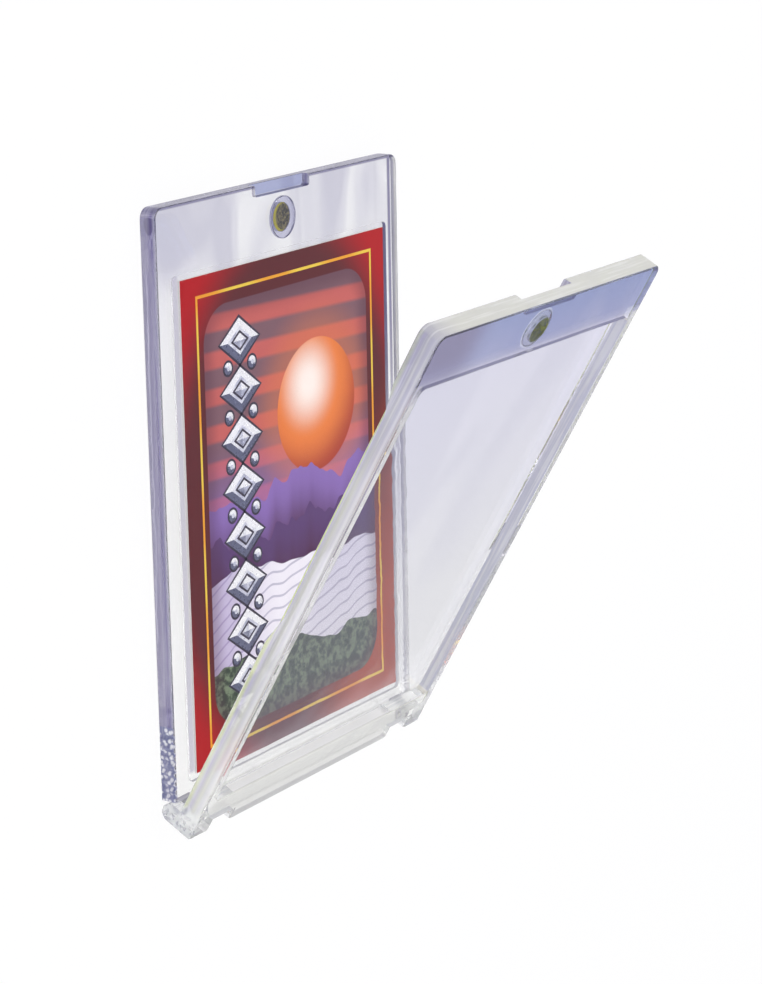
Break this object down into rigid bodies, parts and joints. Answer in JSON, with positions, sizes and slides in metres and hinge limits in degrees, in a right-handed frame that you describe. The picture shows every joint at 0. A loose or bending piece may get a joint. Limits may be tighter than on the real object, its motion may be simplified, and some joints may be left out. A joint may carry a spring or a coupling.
{
  "type": "trading card display case",
  "caption": "Clear hinged two-part case that holds a trading card in a shallow pocket and closes with magnets.",
  "frame": {"origin": "the middle of the rear case's flat back face, half way along and across the outline of the closed case", "axes": "the case lies on its back: +X across its width, +Y from the hinge towards the magnets, +Z out of its front"},
  "size_m": [0.075, 0.112, 0.0596],
  "materials": {
    "clear_plastic": "polished clear",
    "magnet_plating": "satin gold plating",
    "card_print": "gloss printed card"
  },
  "bodies": {
    "rear": {"rear_case": "clear_plastic", "rear_magnet": "magnet_plating", "rear_magnet_cap": "clear_plastic", "trading_card": "card_print"},
    "cover": {"front_cover": "clear_plastic", "front_magnet": "magnet_plating", "front_magnet_cap": "clear_plastic"}
  },
  "joints": [
    {"name": "cover_hinge", "type": "hinge", "parent": "rear", "child": "cover", "pos_m": [0, -0.053, 0.0019], "axis": [1, 0, 0], "range_deg": [-29.4, 60.6]}
  ]
}
